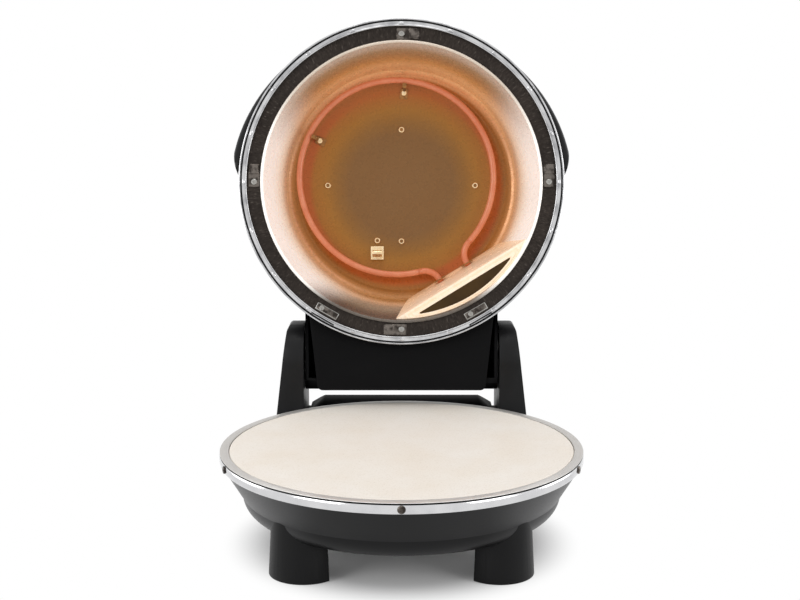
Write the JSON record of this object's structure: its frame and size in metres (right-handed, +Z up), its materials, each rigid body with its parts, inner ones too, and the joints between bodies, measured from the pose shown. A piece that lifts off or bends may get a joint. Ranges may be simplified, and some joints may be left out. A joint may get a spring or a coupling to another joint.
{
  "type": "electric pizza maker",
  "caption": "Round stone-plate cooker on a footed bowl, with a domed heated lid that swings on a rear hinge, a crescent handle and two turning knobs.",
  "frame": {"origin": "on the table under the middle of the part's outline at rest, with the lid open", "axes": "+Z up from the table, +X to the user's right, -Y towards the user; the lid hinge lies along X at the back of the base"},
  "size_m": [0.3432, 0.4503, 0.4773],
  "materials": {
    "base_bowl": "moulded dark plastic, satin",
    "base_band": "bright plated plastic",
    "stone_ring": "satin pressed sheet",
    "pizza_stone": "cast cordierite, matt",
    "lower_pan": "satin pressed sheet",
    "lower_element": "oxidised heater tube",
    "lower_element_clips": "plain zinc-plated steel",
    "heat_shield": "satin pressed sheet",
    "shield_spacers": "plain zinc-plated steel",
    "thermal_cutout": "unglazed moulded ceramic",
    "terminal_block": "unglazed moulded ceramic",
    "bottom_cover": "baked dark coat",
    "bottom_screws": "plain zinc-plated steel",
    "front_left_foot": "moulded dark plastic, satin",
    "front_right_foot": "moulded dark plastic, satin",
    "rear_left_foot": "moulded dark plastic, satin",
    "rear_right_foot": "moulded dark plastic, satin",
    "foot_pads": "moulded soft rubber",
    "base_band_screws": "plain zinc-plated steel",
    "rear_housing": "moulded dark plastic, satin",
    "cord_grommet": "moulded soft rubber",
    "left_arm": "moulded dark plastic, satin",
    "right_arm": "moulded dark plastic, satin",
    "left_hinge_pin": "plain zinc-plated steel",
    "right_hinge_pin": "plain zinc-plated steel",
    "lid_dome": "baked dark coat",
    "lid_band": "bright plated plastic",
    "lid_inner_ring": "baked dark coat",
    "lid_reflector": "polished pressed sheet",
    "terminal_shield": "polished pressed sheet",
    "upper_element": "oxidised heater tube",
    "element_end_clips": "plain zinc-plated steel",
    "element_supports": "plain zinc-plated steel",
    "reflector_screws": "plain zinc-plated steel",
    "thermostat_sensor": "plain zinc-plated steel",
    "ring_brackets": "plain zinc-plated steel",
    "ring_plates": "plain zinc-plated steel",
    "ring_screws": "plain zinc-plated steel",
    "lid_insulation": "pressed mineral felt",
    "lid_neck": "moulded dark plastic, satin",
    "neck_cover": "moulded dark plastic, satin",
    "lid_handle": "moulded dark plastic, satin",
    "control_console": "moulded dark plastic, satin",
    "dial_plate": "satin pressed sheet",
    "thermostat_body": "moulded heat-resistant plastic",
    "timer_body": "moulded heat-resistant plastic",
    "indicator_lens": "moulded plastic",
    "thermostat_knob": "moulded plastic",
    "timer_knob": "moulded plastic",
    "thermostat_spindle": "plain zinc-plated steel",
    "timer_spindle": "plain zinc-plated steel"
  },
  "bodies": {
    "base": {"base_bowl": "base_bowl", "base_band": "base_band", "stone_ring": "stone_ring", "pizza_stone": "pizza_stone", "lower_pan": "lower_pan", "lower_element": "lower_element", "lower_element_clips": "lower_element_clips", "heat_shield": "heat_shield", "shield_spacers": "shield_spacers", "thermal_cutout": "thermal_cutout", "terminal_block": "terminal_block", "bottom_cover": "bottom_cover", "bottom_screws": "bottom_screws", "front_left_foot": "front_left_foot", "front_right_foot": "front_right_foot", "rear_left_foot": "rear_left_foot", "rear_right_foot": "rear_right_foot", "foot_pads": "foot_pads", "base_band_screws": "base_band_screws", "rear_housing": "rear_housing", "cord_grommet": "cord_grommet", "left_arm": "left_arm", "right_arm": "right_arm", "left_hinge_pin": "left_hinge_pin", "right_hinge_pin": "right_hinge_pin"},
    "lid": {"lid_dome": "lid_dome", "lid_band": "lid_band", "lid_inner_ring": "lid_inner_ring", "lid_reflector": "lid_reflector", "terminal_shield": "terminal_shield", "upper_element": "upper_element", "element_end_clips": "element_end_clips", "element_supports": "element_supports", "reflector_screws": "reflector_screws", "thermostat_sensor": "thermostat_sensor", "ring_brackets": "ring_brackets", "ring_plates": "ring_plates", "ring_screws": "ring_screws", "lid_insulation": "lid_insulation", "lid_neck": "lid_neck", "neck_cover": "neck_cover", "lid_handle": "lid_handle", "control_console": "control_console", "dial_plate": "dial_plate", "thermostat_body": "thermostat_body", "timer_body": "timer_body", "indicator_lens": "indicator_lens"},
    "thermostat_dial": {"thermostat_knob": "thermostat_knob", "thermostat_spindle": "thermostat_spindle"},
    "timer_dial": {"timer_knob": "timer_knob", "timer_spindle": "timer_spindle"}
  },
  "joints": [
    {"name": "lid_hinge", "type": "hinge", "parent": "base", "child": "lid", "pos_m": [0, 0.11677, 0.134], "axis": [1, 0, 0], "range_deg": [0, 98]},
    {"name": "thermostat_turn", "type": "hinge", "parent": "lid", "child": "thermostat_dial", "pos_m": [-0.036, 0.20526, 0.42956], "axis": [0, -0.9925, -0.1219], "range_deg": [0, 270]},
    {"name": "timer_turn", "type": "hinge", "parent": "lid", "child": "timer_dial", "pos_m": [0.036, 0.20526, 0.42956], "axis": [0, -0.9925, -0.1219], "range_deg": [0, 300]}
  ]
}
